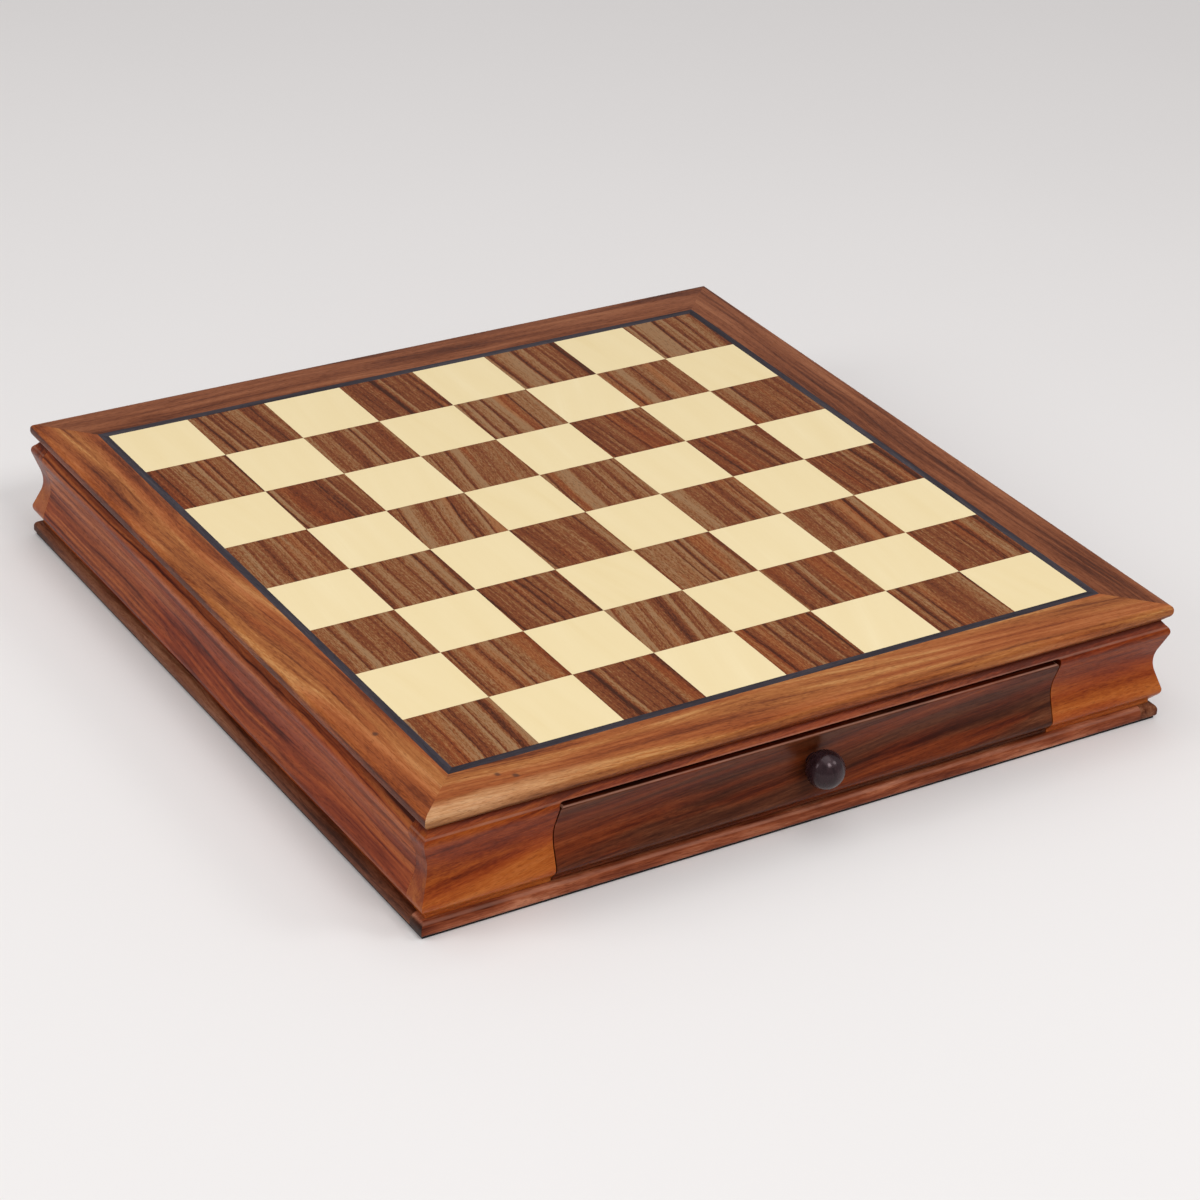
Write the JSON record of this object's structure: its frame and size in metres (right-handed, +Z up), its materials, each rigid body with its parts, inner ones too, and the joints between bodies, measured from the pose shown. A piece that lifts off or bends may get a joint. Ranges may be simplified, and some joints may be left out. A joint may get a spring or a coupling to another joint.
{
  "type": "chess box with drawers",
  "caption": "Flat chess box: an inlaid playing board on a coved wooden case with a felt-lined storage drawer in the front and in the back, each with a turned ball knob.",
  "frame": {"origin": "middle of the underside, on the surface that the box stands on", "axes": "+Z up; -Y is the way the front drawer opens and +Y the way the back drawer opens; +X is to the right of someone who faces the front drawer"},
  "size_m": [0.468, 0.502, 0.072],
  "materials": {
    "maple": "satin lacquer",
    "sheesham_square": "satin lacquer",
    "black_inlay": "satin lacquer",
    "sheesham_rail": "satin lacquer",
    "sheesham_apron": "satin lacquer",
    "sheesham_base": "satin lacquer",
    "rosewood_face": "satin lacquer",
    "rosewood_knob": "polished",
    "panel_board": "plain",
    "carcass_wood": "plain",
    "drawer_wood": "plain",
    "base_felt": "felt",
    "drawer_felt": "felt",
    "steel_screw": "plain",
    "brass_screw": "plain"
  },
  "bodies": {
    "case": {"light_squares": "maple", "dark_squares": "sheesham_square", "inlay_front": "black_inlay", "inlay_back": "black_inlay", "inlay_left": "black_inlay", "inlay_right": "black_inlay", "top_rail_front": "sheesham_rail", "top_rail_back": "sheesham_rail", "top_rail_left": "sheesham_rail", "top_rail_right": "sheesham_rail", "top_panel": "panel_board", "apron_front": "sheesham_apron", "apron_back": "sheesham_apron", "apron_left": "sheesham_apron", "apron_right": "sheesham_apron", "bay_wall_left": "carcass_wood", "bay_wall_right": "carcass_wood", "centre_partition": "carcass_wood", "corner_block_front_left": "carcass_wood", "corner_block_front_right": "carcass_wood", "corner_block_back_left": "carcass_wood", "corner_block_back_right": "carcass_wood", "base_board": "panel_board", "base_edge_front": "sheesham_base", "base_edge_back": "sheesham_base", "base_edge_left": "sheesham_base", "base_edge_right": "sheesham_base", "base_felt": "base_felt", "base_screws": "brass_screw"},
    "front_drawer": {"front_drawer_face": "rosewood_face", "front_drawer_side_left": "drawer_wood", "front_drawer_side_right": "drawer_wood", "front_drawer_back": "drawer_wood", "front_drawer_floor": "drawer_wood", "front_drawer_floor_felt": "drawer_felt", "front_drawer_wall_felt": "drawer_felt", "front_drawer_long_divider": "drawer_felt", "front_drawer_cross_dividers": "drawer_felt", "front_drawer_knob": "rosewood_knob", "front_drawer_knob_screw": "steel_screw"},
    "back_drawer": {"back_drawer_face": "rosewood_face", "back_drawer_side_left": "drawer_wood", "back_drawer_side_right": "drawer_wood", "back_drawer_back": "drawer_wood", "back_drawer_floor": "drawer_wood", "back_drawer_floor_felt": "drawer_felt", "back_drawer_wall_felt": "drawer_felt", "back_drawer_long_divider": "drawer_felt", "back_drawer_cross_dividers": "drawer_felt", "back_drawer_knob": "rosewood_knob", "back_drawer_knob_screw": "steel_screw"}
  },
  "joints": [
    {"name": "front_drawer_slide", "type": "slide", "parent": "case", "child": "front_drawer", "axis": [0, -1, 0], "range_m": [0, 0.18]},
    {"name": "back_drawer_slide", "type": "slide", "parent": "case", "child": "back_drawer", "axis": [0, 1, 0], "range_m": [0, 0.18]}
  ]
}
